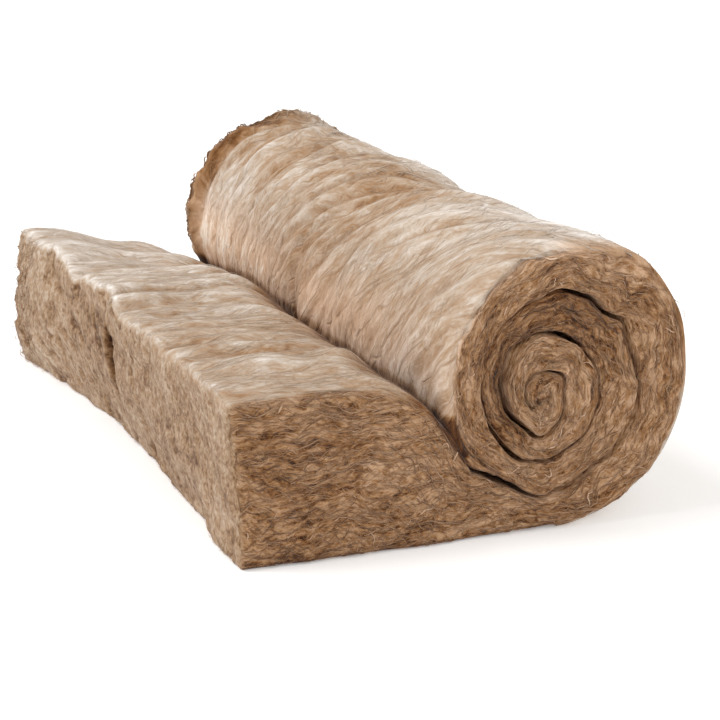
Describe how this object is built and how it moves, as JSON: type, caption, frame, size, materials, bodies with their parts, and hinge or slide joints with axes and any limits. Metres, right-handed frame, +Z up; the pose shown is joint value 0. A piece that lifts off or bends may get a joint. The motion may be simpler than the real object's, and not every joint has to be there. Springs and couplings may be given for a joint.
{
  "type": "insulation roll",
  "caption": "Partly unrolled blanket of brown mineral wool: a thick free end lying flat and a compressed spiral roll behind it, for thermal and sound insulation of floors, walls and lofts.",
  "frame": {"origin": "on the floor, under the middle of the blanket's outline", "axes": "+X runs from the cut end to the roll, +Y along the roll, +Z up"},
  "size_m": [0.709, 1.2, 0.4162],
  "materials": {
    "wool": "matte tangled mineral fibres, paler on the faces and darker on the cut sides"
  },
  "bodies": {
    "root": {"wool_blanket": "wool"}
  },
  "joints": []
}
